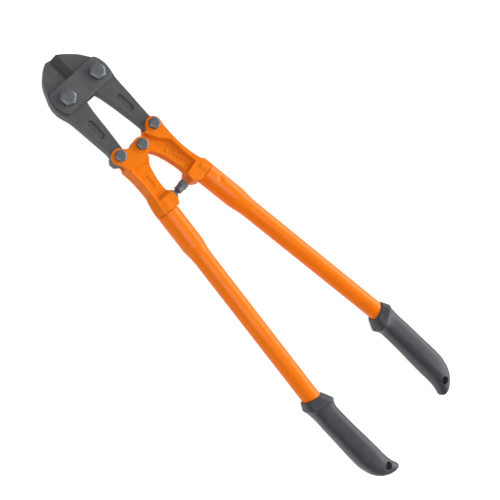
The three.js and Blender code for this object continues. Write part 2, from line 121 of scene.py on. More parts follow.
def rounded_path(points, per=4):
    """Catmull-Rom curve through the points, as a list of (x, y)."""
    out = []
    ends = [points[0]] + list(points) + [points[-1]]
    for i in range(1, len(ends) - 2):
        a, b, c, d = (Vector(p) for p in ends[i - 1:i + 3])
        for k in range(per):
            t = k / per
            out.append(0.5 * ((2 * b) + (c - a) * t + (2 * a - 5 * b + 4 * c - d) * t * t
                              + (3 * b - a - 3 * c + d) * t * t * t))
    out.append(Vector(points[-1]))
    return [(p.x, p.y) for p in out]


def slab(outline, low, high):
    """Flat bar with the given outline in millimetres from the centre pivot."""
    bm = bmesh.new()
    ring = [bm.verts.new((x, y, low)) for x, y in outline]
    face = bm.faces.new(ring)
    grown = bmesh.ops.extrude_face_region(bm, geom=[face])
    top = [e for e in grown["geom"] if isinstance(e, bmesh.types.BMVert)]
    bmesh.ops.translate(bm, verts=top, vec=(0.0, 0.0, high - low))
    bmesh.ops.recalc_face_normals(bm, faces=bm.faces)
    return bm


def flip_to_rear(bm):
    """Mirrors a piece to the rear face."""
    bmesh.ops.scale(bm, verts=bm.verts, vec=(1.0, 1.0, -1.0))
    bmesh.ops.reverse_faces(bm, faces=bm.faces)
    return bm


def break_rims(bm, width, segments=2, steep=0.9):
    """Bevels the edges between the flat faces and the walls."""
    rims = [e for e in bm.edges if len(e.link_faces) == 2 and
            abs(abs(e.link_faces[0].normal.z) - abs(e.link_faces[1].normal.z)) > steep]
    bmesh.ops.bevel(bm, geom=rims, offset=width, segments=segments, profile=0.5, affect="EDGES",
                    material=-1, clamp_overlap=True)
    return bm


def drill(x, y, radius, low=-30.0, high=30.0, segments=64):
    bm = bmesh.new()
    bmesh.ops.create_cone(bm, cap_ends=True, segments=segments, radius1=radius, radius2=radius,
                          depth=high - low)
    bmesh.ops.translate(bm, verts=bm.verts, vec=(x, y, (low + high) / 2))
    return bm


def to_object(name, bm, side=1):
    """Turns a bmesh in millimetres into an object in the part's frame; side -1 mirrors it."""
    if side < 0:
        bmesh.ops.scale(bm, verts=bm.verts, vec=(-1.0, 1.0, 1.0))
        bmesh.ops.reverse_faces(bm, faces=bm.faces)
    bmesh.ops.scale(bm, verts=bm.verts, vec=(MM, MM, MM))
    bmesh.ops.translate(bm, verts=bm.verts, vec=PIVOT)
    mesh = bpy.data.meshes.new(name)
    bm.to_mesh(mesh)
    bm.free()
    obj = bpy.data.objects.new(name, mesh)
    scene.collection.objects.link(obj)
    return obj


def settle(obj):
    """Applies the modifiers by replacing the mesh with its evaluated copy."""
    view = bpy.context.evaluated_depsgraph_get()
    view.update()
    done = bpy.data.meshes.new_from_object(obj.evaluated_get(view))
    obj.modifiers.clear()
    old = obj.data
    obj.data = done
    bpy.data.meshes.remove(old)
    return obj


def carve(obj, cutters, side=1, how="DIFFERENCE"):
    """Cuts bmesh tools, in millimetres, out of an object."""
    tools = [to_object(f"tool_{i}", bm, side) for i, bm in enumerate(cutters)]
    for tool in tools:
        cut = obj.modifiers.new("cut", "BOOLEAN")
        cut.operation = how
        cut.solver = "EXACT"
        cut.object = tool
    settle(obj)
    for tool in tools:
        bpy.data.objects.remove(tool, do_unlink=True)
    return obj


def shade(obj, degrees=32.0):
    obj.data.shade_smooth()
    obj.data.set_sharp_from_angle(angle=math.radians(degrees))
    return obj


def finish_with(obj, material, body, slot_name, *nodes):
    obj.data.materials.clear()
    obj.data.materials.append(material)
    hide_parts(*nodes)
    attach(obj, body)
    return obj


def surface(name, colour, rough, specular=0.5, metal=0.0, coat=0.0, coat_rough=0.1):
    """A Principled material with its constants set on the shader."""
    mat = bpy.data.materials.new(name)
    mat.use_nodes = True
    shader = mat.node_tree.nodes["Principled BSDF"]
    shader.inputs["Base Color"].default_value = (*colour, 1.0)
    shader.inputs["Roughness"].default_value = rough
    shader.inputs["Specular IOR Level"].default_value = specular
    shader.inputs["Metallic"].default_value = metal
    shader.inputs["Coat Weight"].default_value = coat
    shader.inputs["Coat Roughness"].default_value = coat_rough
    return mat


def node(mat, kind, **values):
    made = mat.node_tree.nodes.new(kind)
    for key, value in values.items():
        if key in made.inputs:
            made.inputs[key].default_value = value
        else:
            setattr(made, key, value)
    return made


def wire(mat, a, out, b, into):
    mat.node_tree.links.new(a.outputs[out], b.inputs[into])


def drive(mat, a, out, socket):
    """Wires a node into the named socket of the material's shader."""
    wire(mat, a, out, mat.node_tree.nodes["Principled BSDF"], socket)


def grain(mat, scale, detail=4.0, stretch=(1.0, 1.0, 1.0)):
    """Noise on object coordinates, in grains per metre."""
    place = node(mat, "ShaderNodeTexCoord")
    lay = node(mat, "ShaderNodeMapping")
    lay.inputs["Scale"].default_value = stretch
    noise = node(mat, "ShaderNodeTexNoise", Scale=scale, Detail=detail, Roughness=0.6)
    wire(mat, place, "Object", lay, "Vector")
    wire(mat, lay, "Vector", noise, "Vector")
    return noise


def blend_colours(mat, noise, stops):
    """Colour ramp on a noise; returns the ramp node."""
    ramp = node(mat, "ShaderNodeValToRGB")
    ramp.color_ramp.elements[0].position = stops[0][0]
    ramp.color_ramp.elements[0].color = (*stops[0][1], 1.0)
    ramp.color_ramp.elements[1].position = stops[-1][0]
    ramp.color_ramp.elements[1].color = (*stops[-1][1], 1.0)
    for at, colour in stops[1:-1]:
        ramp.color_ramp.elements.new(at).color = (*colour, 1.0)
    wire(mat, noise, 0, ramp, "Fac")
    return ramp


def rough_range(mat, noise, low, high):
    spread = node(mat, "ShaderNodeMapRange")
    spread.inputs["From Min"].default_value = 0.3
    spread.inputs["From Max"].default_value = 0.7
    spread.inputs["To Min"].default_value = low
    spread.inputs["To Max"].default_value = high
    wire(mat, noise, 0, spread, "Value")
    drive(mat, spread, "Result", "Roughness")


def bumps(mat, layers):
    """Stacks bump maps: each layer is (noise, strength, height in metres)."""
    last = None
    for noise, strength, height in layers:
        bump = node(mat, "ShaderNodeBump", Strength=strength, Distance=height)
        wire(mat, noise, 0, bump, "Height")
        if last is not None:
            wire(mat, last, "Normal", bump, "Normal")
        last = bump
    drive(mat, last, "Normal", "Normal")


strap_steel = surface("black_oxide_strap", (0.062, 0.062, 0.064), 0.5, specular=0.25)
patina = grain(strap_steel, 95.0, 6.0)
patina_colour = blend_colours(strap_steel, patina, [
    (0.30, (0.062, 0.062, 0.065)), (0.55, (0.070, 0.070, 0.073)), (0.75, (0.080, 0.080, 0.083))])
drive(strap_steel, patina_colour, 0, "Base Color")
rough_range(strap_steel, patina, 0.44, 0.56)
bumps(strap_steel, [(grain(strap_steel, 1600.0, 2.0, (1.0, 0.2, 1.0)), 0.12, 0.0002),
                    (patina, 0.10, 0.0004)])

strap_end = rounded_path([(31.0, 102.0), (33.6, 100.2), (35.6, 96.0), (36.8, 91.0), (37.1, 87.0),
                          (36.6, 82.0), (35.2, 77.5), (33.2, 74.4), (31.0, 73.0)], 4)
strap_outline = strap_end + [(-x, y) for x, y in reversed(strap_end)]
for strap_name, strap_node, at_rear in (("front_strap_plate", "strap_front", False),
                                        ("rear_strap_plate", "strap_rear", True)):
    bar = break_rims(slab(strap_outline, STRAP_LOW, STRAP_HIGH), STRAP_RIM, 1)
    if at_rear:
        flip_to_rear(bar)
    plate = to_object(strap_name, bar)
    carve(plate, [drill(x, JAW_BOLT_Y, JAW_BOLT_HOLE) for x in (-JAW_BOLT_X, JAW_BOLT_X)])
    shade(plate)
    finish_with(plate, strap_steel, "straps", "strap", strap_node)


# ---------------------------------------------------------------------------
# Jaws.
# Two drop-forged tool-steel jaws, blackened, with the cutting bevels ground
# on both faces. Each turns on its bolt and has a pressed oblong panel.
# ---------------------------------------------------------------------------
TAIL_X = 27.1
TAIL_Y = 7.0
JAW_HALF_THICK = 6.0
PANEL_X = 22.9
PANEL_Y = 44.8
PANEL_LEAN = 3.0
NOSE_Y = 128.4
EDGE_FROM_Y = 88.0
GROUND_FROM = 0.098
GROUND_WITHIN = 0.0086


def melt(obj, voxel, passes, factor=0.5):
    """Rounds every edge like a forging or casting: voxel skin, then smoothing."""
    skin = obj.modifiers.new("skin", "REMESH")
    skin.mode = "VOXEL"
    skin.voxel_size = voxel * MM
    skin.use_smooth_shade = True
    relax = obj.modifiers.new("relax", "SMOOTH")
    relax.factor = factor
    relax.iterations = passes
    settle(obj)
    obj.data.shade_smooth()
    return obj


def turn_flat(bm, degrees):
    """Turns a piece about Z through the origin."""
    bmesh.ops.rotate(bm, verts=bm.verts, cent=(0, 0, 0),
                     matrix=Matrix.Rotation(math.radians(degrees), 3, "Z"))


def arc_points(x, y, radius, angles):
    """Points on a circle at whole degrees."""
    return [(x + radius * math.cos(math.radians(a)), y + radius * math.sin(math.radians(a)))
            for a in angles]


def oblong(x, y, half_length, radius, floor, face, draft, lean):
    """Cutter for a round-ended panel with drafted walls, turned by lean degrees."""
    arc = [(radius * math.cos(math.pi * k / 24), half_length + radius * math.sin(math.pi * k / 24))
           for k in range(25)]
    bm = slab(arc + [(-p, -q) for p, q in arc], floor, face)
    for v in bm.verts:
        if v.co.z < floor + 0.01:
            hub = Vector((0.0, math.copysign(half_length, v.co.y), v.co.z))
            v.co = hub + (v.co - hub) * (1.0 - draft / radius)
    turn_flat(bm, lean)
    bmesh.ops.translate(bm, verts=bm.verts, vec=(x, y, 0.0))
    return bm


def both_faces(make):
    """Two cutters: the one made and its twin on the rear face."""
    return [make(), flip_to_rear(make())]


def bevel_wedge(edge):
    """Cutter that leaves the ground bevel from the face down to the cutting edge."""
    bm = bmesh.new()
    ring = [bm.verts.new(p) for p in ((-4.0, 99.0, 0.1), (edge, 99.0, 0.1), (edge + 6.8, 99.0, 6.1),
                                      (edge + 6.8, 99.0, 9.0), (-4.0, 99.0, 9.0))]
    face = bm.faces.new(ring)
    grown = bmesh.ops.extrude_face_region(bm, geom=[face])
    moved = [v for v in grown["geom"] if isinstance(v, bmesh.types.BMVert)]
    bmesh.ops.translate(bm, verts=moved, vec=(0.0, 40.0, 0.0))
    bmesh.ops.recalc_face_normals(bm, faces=bm.faces)
    return bm


def raised_pads(places, x, y, lean, top):
    """Small plain pads left standing on a sunk panel, on both faces."""
    pads = []
    for px, py, width, length in places:
        for sign in (1, -1):
            bm = bmesh.new()
            bmesh.ops.create_cube(bm, size=1.0)
            bmesh.ops.scale(bm, verts=bm.verts, vec=(width, length, 2.0))
            bmesh.ops.translate(bm, verts=bm.verts, vec=(px, py, 0.0))
            turn_flat(bm, lean)
            bmesh.ops.translate(bm, verts=bm.verts, vec=(x, y, sign * (top - 1.0)))
            pads.append(bm)
    return pads


COLOUR_MIX_A, COLOUR_MIX_B, COLOUR_MIX_OUT = 6, 7, 2


def edge_wear_and_highlight(mat, base, edge_colour, low, high):
    """Mixes a lighter colour in along convex edges: on the steels it is wear, where a coating rubs
    thin; on the orange enamel it is a painted highlight.
    """
    shape = node(mat, "ShaderNodeNewGeometry")
    mask = node(mat, "ShaderNodeMapRange")
    mask.inputs["From Min"].default_value = low
    mask.inputs["From Max"].default_value = high
    wire(mat, shape, "Pointiness", mask, "Value")
    mix = node(mat, "ShaderNodeMix", data_type="RGBA")
    mix.inputs[COLOUR_MIX_B].default_value = (*edge_colour, 1.0)
    wire(mat, mask, "Result", mix, 0)
    wire(mat, base, 0, mix, COLOUR_MIX_A)
    drive(mat, mix, COLOUR_MIX_OUT, "Base Color")


forged_steel = surface("forged_jaw_steel", (0.062, 0.063, 0.066), 0.5, specular=0.25)
scale_mottle = grain(forged_steel, 130.0, 8.0)
mottle_colour = blend_colours(forged_steel, scale_mottle, [
    (0.28, (0.050, 0.051, 0.054)), (0.52, (0.060, 0.061, 0.064)), (0.78, (0.073, 0.074, 0.077))])
edge_wear_and_highlight(forged_steel, mottle_colour, (0.20, 0.20, 0.21), 0.53, 0.62)
rough_range(forged_steel, scale_mottle, 0.42, 0.60)
bumps(forged_steel, [(grain(forged_steel, 900.0, 3.0), 0.22, 0.0003),
                     (grain(forged_steel, 160.0, 4.0), 0.18, 0.0006)])

ground_steel = surface("ground_bevel_steel", (0.10, 0.10, 0.104), 0.34, metal=0.7)
grind_lines = grain(ground_steel, 420.0, 3.0, (0.12, 3.0, 0.12))
rough_range(ground_steel, grind_lines, 0.26, 0.44)
grind_colour = blend_colours(ground_steel, grind_lines, [
    (0.3, (0.070, 0.070, 0.073)), (0.7, (0.092, 0.092, 0.096))])
drive(ground_steel, grind_colour, 0, "Base Color")
bumps(ground_steel, [(grind_lines, 0.15, 0.0002)])

jaw_tail = arc_points(TAIL_X, TAIL_Y, 8.9, range(40, -185, -8))
left_nose = [(11.0, NOSE_Y), (15.6, 125.5), (19.5, 122.2), (23.4, 118.9), (26.8, 115.2),
             (29.7, 111.0), (32.1, 106.5), (34.2, 102.0), (36.4, 97.5), (38.2, 92.3), (39.0, 87.0),
             (38.8, 81.6), (37.5, 76.4), (35.9, 71.2), (34.7, 65.0), (33.5, 50.0), (32.1, 30.0),
             (31.4, 20.0), (31.8, 14.0)]
left_inside = [(18.0, 7.0), (16.6, 13.0), (15.5, 20.0), (12.6, 40.0), (11.4, 50.0), (9.9, 60.0),
               (8.4, 68.0), (6.4, 75.0), (4.2, 80.0), (2.4, 85.0), (1.4, 89.0)]
right_nose = [(4.8, NOSE_Y), (8.9, 126.1), (14.9, 121.8), (21.2, 116.5), (26.4, 111.2), (30.2, 106.0),
              (33.2, 102.0), (36.0, 97.5), (38.0, 92.5), (38.8, 87.0), (38.5, 81.0), (37.2, 75.0),
              (35.9, 69.0), (34.9, 50.0), (33.6, 30.0), (33.1, 20.0), (32.8, 14.2)]
right_inside = [(18.6, 7.0), (18.3, 13.0), (17.4, 21.0), (14.6, 40.0), (13.0, 50.0), (11.1, 60.0),
                (9.2, 68.0), (6.6, 75.0), (3.0, 81.0), (0.6, 85.0), (-0.7, 89.0)]
panel_pads = [(-1.0, 8.6, 1.8, 1.4), (0.9, 6.4, 2.2, 1.2), (-0.9, 4.2, 1.6, 1.3),
              (0.8, 1.8, 2.4, 1.3), (-1.0, -0.6, 1.8, 1.2), (0.9, -3.0, 2.0, 1.4),
              (-0.8, -5.4, 2.2, 1.2), (0.6, -7.8, 2.2, 1.4)]
for side, word, edge, nose, inside in ((-1, "left", 1.03, left_nose, left_inside),
                                       (1, "right", -0.97, right_nose, right_inside)):
    jaw_outline = ([(edge - 0.6, NOSE_Y)] + rounded_path(nose, 4) + jaw_tail
                   + rounded_path(inside, 4) + [(edge - 0.6, 93.0)])
    blank = break_rims(slab(jaw_outline, -JAW_HALF_THICK, JAW_HALF_THICK), 0.6, 2)
    jaw = to_object(f"{word}_forged_jaw", blank, side)
    cutters = both_faces(lambda: oblong(PANEL_X, PANEL_Y, 7.6, 4.5, 4.1, 8.0, 0.8, PANEL_LEAN))
    cutters += [drill(JAW_BOLT_X, JAW_BOLT_Y, JAW_BOLT_HOLE), drill(TAIL_X, TAIL_Y, 4.25)]
    carve(jaw, cutters, side)
    carve(jaw, raised_pads(panel_pads, PANEL_X, PANEL_Y, PANEL_LEAN, 4.9), side, "UNION")
    melt(jaw, 0.45, 3)
    behind = slab([(edge - 9.0, EDGE_FROM_Y), (edge, EDGE_FROM_Y), (edge, 140.0),
                   (edge - 9.0, 140.0)], -9.0, 9.0)
    carve(jaw, [behind] + both_faces(lambda: bevel_wedge(edge)), side)
    shade(jaw, 24.0)
    finish_with(jaw, forged_steel, f"{word}_jaw", "jaw", f"jaw_{word}")
    jaw.data.materials.append(ground_steel)
    for face in jaw.data.polygons:
        near = (face.center.y > PIVOT.y + GROUND_FROM
                and abs(face.center.x - PIVOT.x) < GROUND_WITHIN)
        if near and -face.normal.x * side > 0.6 and abs(face.normal.z) > 0.6:
            face.material_index = 1


# ---------------------------------------------------------------------------
# Jaw bolts and nuts.
# Hexagon bolts, zinc-plated dark, go through strap, jaw and strap, with a
# hexagon nut on the rear of each.
# ---------------------------------------------------------------------------
THREAD_PITCH = 1.25
JAW_BOLT_FLATS = 16.4
BOLT_SHADE = 28.0


def ring(bm, radius, z, hexed=False, crown=None, steps=72):
    """One loop of a turned or hexagonal piece; crown turns the corners down past that radius."""
    made = bmesh.ops.create_circle(bm, segments=steps, radius=1.0, cap_ends=False)["verts"]
    for v in made:
        a = math.atan2(v.co.y, v.co.x)
        r = radius
        if hexed:
            r = radius / math.cos((a + math.pi / 6) % (math.pi / 3) - math.pi / 6)
        drop = 0.0
        if crown is not None:
            drop = max(0.0, r - crown[0]) * crown[1]
        v.co = Vector((r * math.cos(a), r * math.sin(a), z + drop))
    return made


def loft(bm, loops, closed=False, cap_first=True, cap_last=True):
    """Bridges loops in order, then caps or closes the ends."""
    def edges_of(loop):
        members = set(loop)
        return [e for e in bm.edges if e.verts[0] in members and e.verts[1] in members]
    rims = [edges_of(loop) for loop in loops]
    pairs = list(zip(rims, rims[1:]))
    if closed:
        pairs.append((rims[-1], rims[0]))
    for a, b in pairs:
        bmesh.ops.bridge_loops(bm, edges=a + b)
    if not closed and cap_first:
        bmesh.ops.contextual_create(bm, geom=rims[0])
    if not closed and cap_last:
        bmesh.ops.contextual_create(bm, geom=rims[-1])
    bmesh.ops.recalc_face_normals(bm, faces=bm.faces)
    return bm


def hex_bolt(flats, base, top, shank, end, thread_from):
    """Bolt standing along Z: crowned hexagon head, washer face, shank and cut thread."""
    half = flats / 2
    bm = bmesh.new()
    flat = 0.8 * half
    loops = [ring(bm, 0.5 * half, top), ring(bm, flat - 0.25, top), ring(bm, flat + 0.1, top - 0.1),
             ring(bm, half, top, True, (flat - 0.1, -0.5)),
             ring(bm, half, base + 0.6, True), ring(bm, half - 0.1, base + 0.35, True),
             ring(bm, half - 0.5, base + 0.3), ring(bm, half - 0.6, base), ring(bm, shank, base)]
    z = thread_from
    loops.append(ring(bm, shank, z))
    while z - THREAD_PITCH > end + 0.7:
        loops.append(ring(bm, shank - 0.45, z - 0.62))
        loops.append(ring(bm, shank, z - THREAD_PITCH))
        z -= THREAD_PITCH
    loops.append(ring(bm, shank - 0.1, end + 0.6))
    loops.append(ring(bm, shank - 0.8, end))
    return loft(bm, loops)


def hex_nut(flats, low, high, bore):
    """Nut standing along Z, with its corners turned down at the outer end."""
    half = flats / 2
    bm = bmesh.new()
    loops = [ring(bm, bore, high - 0.5), ring(bm, bore + 0.5, high), ring(bm, half - 0.2, high),
             ring(bm, half - 0.05, high - 0.3, True), ring(bm, half, high - 0.6, True),
             ring(bm, half, low + 0.3, True, (half - 0.2, 0.55)), ring(bm, half - 0.35, low + 0.12),
             ring(bm, half - 0.8, low), ring(bm, bore + 0.6, low), ring(bm, bore, low + 0.6)]
    return loft(bm, loops, closed=True)


def set_in_place(bm, x, y, turn):
    turn_flat(bm, turn)
    bmesh.ops.translate(bm, verts=bm.verts, vec=(x, y, 0.0))
    return bm


plated_steel = surface("dark_plated_steel", (0.09, 0.098, 0.11), 0.38, metal=0.35)
plating = grain(plated_steel, 260.0, 5.0)
plating_colour = blend_colours(plated_steel, plating, [
    (0.30, (0.074, 0.081, 0.092)), (0.55, (0.088, 0.096, 0.108)), (0.78, (0.108, 0.117, 0.130))])
edge_wear_and_highlight(plated_steel, plating_colour, (0.20, 0.21, 0.23), 0.54, 0.68)
rough_range(plated_steel, plating, 0.34, 0.46)
bumps(plated_steel, [(grain(plated_steel, 1400.0, 2.0), 0.10, 0.0002)])

for side, word, turn, nut_turn in ((-1, "left", 8.0, 14.0), (1, "right", 20.0, 2.0)):
    bolt = hex_bolt(JAW_BOLT_FLATS, 11.5, 17.9, 5.0, -16.8, -9.0)
    bolt = to_object(f"{word}_jaw_bolt",
                     set_in_place(bolt, side * JAW_BOLT_X, JAW_BOLT_Y, turn))
    shade(bolt, BOLT_SHADE)
    finish_with(bolt, plated_steel, "straps", "fastener", f"jaw_bolt_{word}")
    nut = hex_nut(JAW_BOLT_FLATS, -17.0, -11.5, 5.3)
    nut = to_object(f"{word}_jaw_nut",
                    set_in_place(nut, side * JAW_BOLT_X, JAW_BOLT_Y, nut_turn))
    shade(nut, BOLT_SHADE)
    finish_with(nut, plated_steel, "straps", "fastener", f"jaw_nut_{word}")


# ---------------------------------------------------------------------------
# Handle heads.
# Steel castings under orange enamel. Each forks over its jaw's tail, has a
# sunk web with an edge rib, and ends in a socket and a tang for its tube.
# ---------------------------------------------------------------------------
LEFT_AXIS = (30.2, -70.9, math.asin(0.143))
RIGHT_AXIS = (34.6, -70.9, math.asin(0.1226))
SLOT_HALF = 6.3
HEAD_HALF_THICK = 12.0
TAIL_BOLT_HOLE = 4.3
STOP_Y = -62.0
BEND_FROM, BEND_FOR, BEND = 256.0, 50.0, 0.098


def handle_point(axis, across, along, height):
    """Point given along a handle's axis, in millimetres from the socket's mouth."""
    past = min(max(along - BEND_FROM, 0.0), BEND_FOR)
    beyond = max(along - BEND_FROM - BEND_FOR, 0.0)
    across -= BEND * past * past / (2.0 * BEND_FOR) + BEND * beyond
    x, y, lean = axis
    return Vector((x + across * math.cos(lean) + along * math.sin(lean),
                   y + across * math.sin(lean) - along * math.cos(lean), height))


def turned_on_handle(axis, profile, steps=96, closed=False):
    """Lofts round loops (radius, along) on the handle axis."""
    bm = bmesh.new()
    loops = []
    for radius, along in profile:
        loop = bmesh.ops.create_circle(bm, segments=steps, radius=1.0, cap_ends=False)["verts"]
        for v in loop:
            v.co = handle_point(axis, v.co.x * radius, along, v.co.y * radius)
        loops.append(loop)
    return loft(bm, loops, closed=closed)


def shrink(outline, by):
    """The outline moved evenly inwards."""
    points = [Vector(p) for p in outline]
    after = points[1:] + points[:1]
    turn = 1.0 if sum(p.x * q.y - q.x * p.y for p, q in zip(points, after)) > 0 else -1.0
    moved = []
    for before, here, then in zip(points[-1:] + points[:-1], points, after):
        a, b = (here - before).normalized(), (then - here).normalized()
        into_a, into_b = Vector((-a.y, a.x)) * turn, Vector((-b.y, b.x)) * turn
        moved.append(here + (into_a + into_b) * (by / (1.0 + into_a.dot(into_b))))
    return [(p.x, p.y) for p in moved]


def stacked(layers):
    """Closed body through outlines of equal length, each given as (outline, height)."""
    bm = bmesh.new()
    rows = [[bm.verts.new((x, y, z)) for x, y in outline] for outline, z in layers]
    count = len(rows[0])
    for low, high in zip(rows, rows[1:]):
        for i in range(count):
            k = (i + 1) % count
            bm.faces.new((low[i], low[k], high[k], high[i]))
    bmesh.ops.triangulate(bm, faces=list(bm.faces))
    bm.faces.new(rows[0])
    bm.faces.new(rows[-1])
    bmesh.ops.recalc_face_normals(bm, faces=bm.faces)
    return bm


def tapered_cutter(outline, floor, face, flare):
    """Pocket cutter: narrow at the floor, flaring out towards the face."""
    return stacked([(shrink(outline, flare), floor), (outline, face), (outline, face + 6.0)])


def head_outline(outer, inner, mouth, boss):
    """Casting outline: outer edge, ear, neck, boss, inner edge and the socket's mouth."""
    ear = arc_points(TAIL_X, TAIL_Y, 9.2, range(-8, 162, 7))
    neck = rounded_path([(18.2, 10.2), (16.2, 8.4), (13.2, 6.9), (10.2, 7.0), (7.4, 7.6)], 3)
    disc = arc_points(0.0, 0.0, boss, range(52, 276, 8))
    return (rounded_path(outer, 5) + ear + neck + disc + rounded_path(inner, 5)
            + [(13.3, -57.2), (13.3, -66.6)] + mouth)


def lay_across(bm, start_x):
    """Turns a piece made along Z to lie along X, at the stop bolt's height."""
    bmesh.ops.rotate(bm, verts=bm.verts, cent=(0, 0, 0),
                     matrix=Matrix.Rotation(math.pi / 2, 3, "Y"))
    bmesh.ops.translate(bm, verts=bm.verts, vec=(start_x, STOP_Y, 0.0))
    return bm


cast_enamel = surface("cast_orange_enamel", (0.66, 0.150, 0.006), 0.40, specular=0.03)
cast_skin = grain(cast_enamel, 210.0, 6.0)
enamel_colour = blend_colours(cast_enamel, cast_skin, [
    (0.25, (0.61, 0.133, 0.005)), (0.50, (0.66, 0.151, 0.007)), (0.80, (0.70, 0.168, 0.010))])
# The lighter orange along the castings' convex edges is a painted highlight, not wear.
edge_wear_and_highlight(cast_enamel, enamel_colour, (0.80, 0.22, 0.02), 0.54, 0.66)
rough_range(cast_enamel, cast_skin, 0.34, 0.48)
bumps(cast_enamel, [(grain(cast_enamel, 420.0, 4.0), 0.20, 0.0004),
                    (grain(cast_enamel, 90.0, 3.0), 0.15, 0.0008)])

left_outer = [(38.6, -70.4), (36.3, -60.0), (34.0, -50.0), (32.6, -40.0), (31.6, -30.0),
              (31.1, -20.0), (31.5, -10.0), (32.8, -2.0), (36.0, 4.6)]
left_inner = [(2.4, -11.4), (5.2, -16.0), (8.2, -21.6), (10.6, -29.0), (13.0, -37.0),
              (14.4, -45.0), (14.8, -51.0), (13.6, -55.4)]
right_outer = [(43.4, -70.0), (40.9, -60.0), (37.6, -50.0), (35.5, -40.0), (34.3, -31.0),
               (33.9, -22.0), (34.1, -12.0), (34.7, -2.0), (36.2, 4.8)]
right_inner = [(4.2, -11.4), (7.4, -16.0), (9.9, -21.6), (12.4, -29.0), (14.4, -37.0),
               (16.0, -45.0), (16.6, -51.0), (15.0, -55.6)]
left_pocket = [(26.4, -11.4), (4.0, -15.7), (4.0, -56.8), (12.0, -56.8), (31.9, -55.4),
               (33.1, -49.0), (31.7, -40.0), (30.7, -30.0), (30.2, -20.0), (30.0, -13.6)]
right_pocket = [(13.0, 5.0), (16.5, -1.0), (19.0, -6.5), (29.0, -17.0), (29.4, -34.0),
                (31.8, -53.0), (12.0, -56.4), (-2.0, -56.4), (-14.0, -8.0), (-14.0, 14.0),
                (4.0, 14.0)]
web_marks = {"left": [(18.6, -29.6, 1.6, 1.3), (19.6, -33.2, 1.4, 1.2), (19.0, -36.8, 1.7, 1.2),
                      (20.2, -40.2, 1.4, 1.3)],
             "right": [(17.0, -22.1, 1.6, 1.4), (20.6, -33.0, 1.5, 1.3), (21.8, -37.0, 1.7, 1.2),
                       (22.8, -41.0, 1.4, 1.3)]}
for side, word, axis, outer, inner, mouth, boss in (
        (-1, "left", LEFT_AXIS, left_outer, left_inner, [(15.2, -69.4), (18.0, -73.4)], 9.2),
        (1, "right", RIGHT_AXIS, right_outer, right_inner, [(17.2, -69.8), (21.6, -72.8)], 9.0)):
    edge = head_outline(outer, inner, mouth, boss)
    if side < 0:
        lead = [(10.6, -24.0), (11.4, -19.0), (12.2, -14.0), (12.8, -9.5), (13.0, -6.0), (13.0, 0.0)]
    else:
        lead = [(11.8, -13.0), (12.6, -11.6), (13.0, -10.0), (13.0, 0.0)]
    blank = break_rims(slab(edge, -HEAD_HALF_THICK, HEAD_HALF_THICK), 0.9, 2)
    head = to_object(f"{word}_cast_head", blank, side)
    carve(head, [turned_on_handle(axis, lead)], side, "UNION")
    beyond = turned_on_handle(axis, [(24.0, 0.0), (24.0, 26.0)])
    cuts = [beyond, drill(TAIL_X, TAIL_Y, 10.3, -SLOT_HALF, SLOT_HALF, 96)]
    cuts.append(slab([(17.4, 7.0), (TAIL_X, 4.0), (60.0, 4.0), (60.0, 40.0), (17.4, 40.0)],
                     -SLOT_HALF, SLOT_HALF))
    cuts.append(drill(TAIL_X, TAIL_Y, TAIL_BOLT_HOLE))
    if side < 0:
        cuts += both_faces(lambda: tapered_cutter(left_pocket, 6.0, HEAD_HALF_THICK, 4.2))
        cuts.append(slab([(28.5, -6.0), (42.0, -6.0), (42.0, 8.0), (28.5, 8.0)],
                         -SLOT_HALF, SLOT_HALF))
        sweep = range(-75, 141, 5)
        cuts.append(slab(arc_points(TAIL_X, TAIL_Y, 7.3, sweep)
                         + arc_points(TAIL_X, TAIL_Y, 14.0, reversed(sweep)), -14.0, -6.2))
        cuts.append(drill(0.0, 0.0, 10.7, -SLOT_HALF, SLOT_HALF, 96))
        cuts.append(drill(0.0, 0.0, TAIL_BOLT_HOLE))
        cuts.append(lay_across(drill(0.0, 0.0, 3.25, 10.0, 34.0, 32), 0.0))
    else:
        cuts += both_faces(lambda: tapered_cutter(right_pocket, 5.9, HEAD_HALF_THICK, 2.2))
        cuts += both_faces(lambda: drill(0.0, 0.0, 13.4, 5.9, 20.0, 96))
        cuts.append(drill(0.0, 0.0, 5.6))
    carve(head, cuts, side)
    tang = turned_on_handle(axis, [(10.9, -3.0), (10.9, 27.0), (8.9, 30.0)])
    marks = []
    for x, y, width, length in web_marks[word]:
        mark = bmesh.new()
        bmesh.ops.create_uvsphere(mark, u_segments=20, v_segments=12, radius=1.0)
        bmesh.ops.scale(mark, verts=mark.verts, vec=(width, length, 1.7))
        bmesh.ops.translate(mark, verts=mark.verts, vec=(x, y, 6.0))
        marks.append(mark)
    carve(head, [tang] + marks, side, "UNION")
    melt(head, 0.5, 3)
    finish_with(head, cast_enamel, f"{word}_handle", "head_paint", f"handle_head_{word}")


# ---------------------------------------------------------------------------
# Tail bolts and centre bolt.
# Smaller hexagon bolts, plated like the others: one through each ear and jaw
# tail, and one through the left fork and the right tongue, with rear nuts.
# ---------------------------------------------------------------------------
TAIL_BOLT_FLATS = 12.0

for name, x, y, turn, nut_turn, body in (
        ("tail_bolt_left", -TAIL_X, TAIL_Y, 12.0, 5.0, "left_handle"),
        ("tail_bolt_right", TAIL_X, TAIL_Y, 25.0, 17.0, "right_handle"),
        ("centre_bolt", 0.0, 0.0, 0.0, 9.0, "left_handle")):
    words = name.split("_")
    plain = "centre_pivot_bolt" if name == "centre_bolt" else f"{words[2]}_tail_bolt"
    bolt = to_object(plain, set_in_place(
        hex_bolt(TAIL_BOLT_FLATS, 12.3, 17.5, 4.0, -16.8, -10.5), x, y, turn))
    shade(bolt, BOLT_SHADE)
    finish_with(bolt, plated_steel, body, "fastener", name)
    nut = to_object(plain.replace("bolt", "nut"),
                    set_in_place(hex_nut(TAIL_BOLT_FLATS, -16.9, -12.3, 4.3), x, y, nut_turn))
    shade(nut, BOLT_SHADE)
    finish_with(nut, plated_steel, body, "fastener", name.replace("bolt", "nut"))


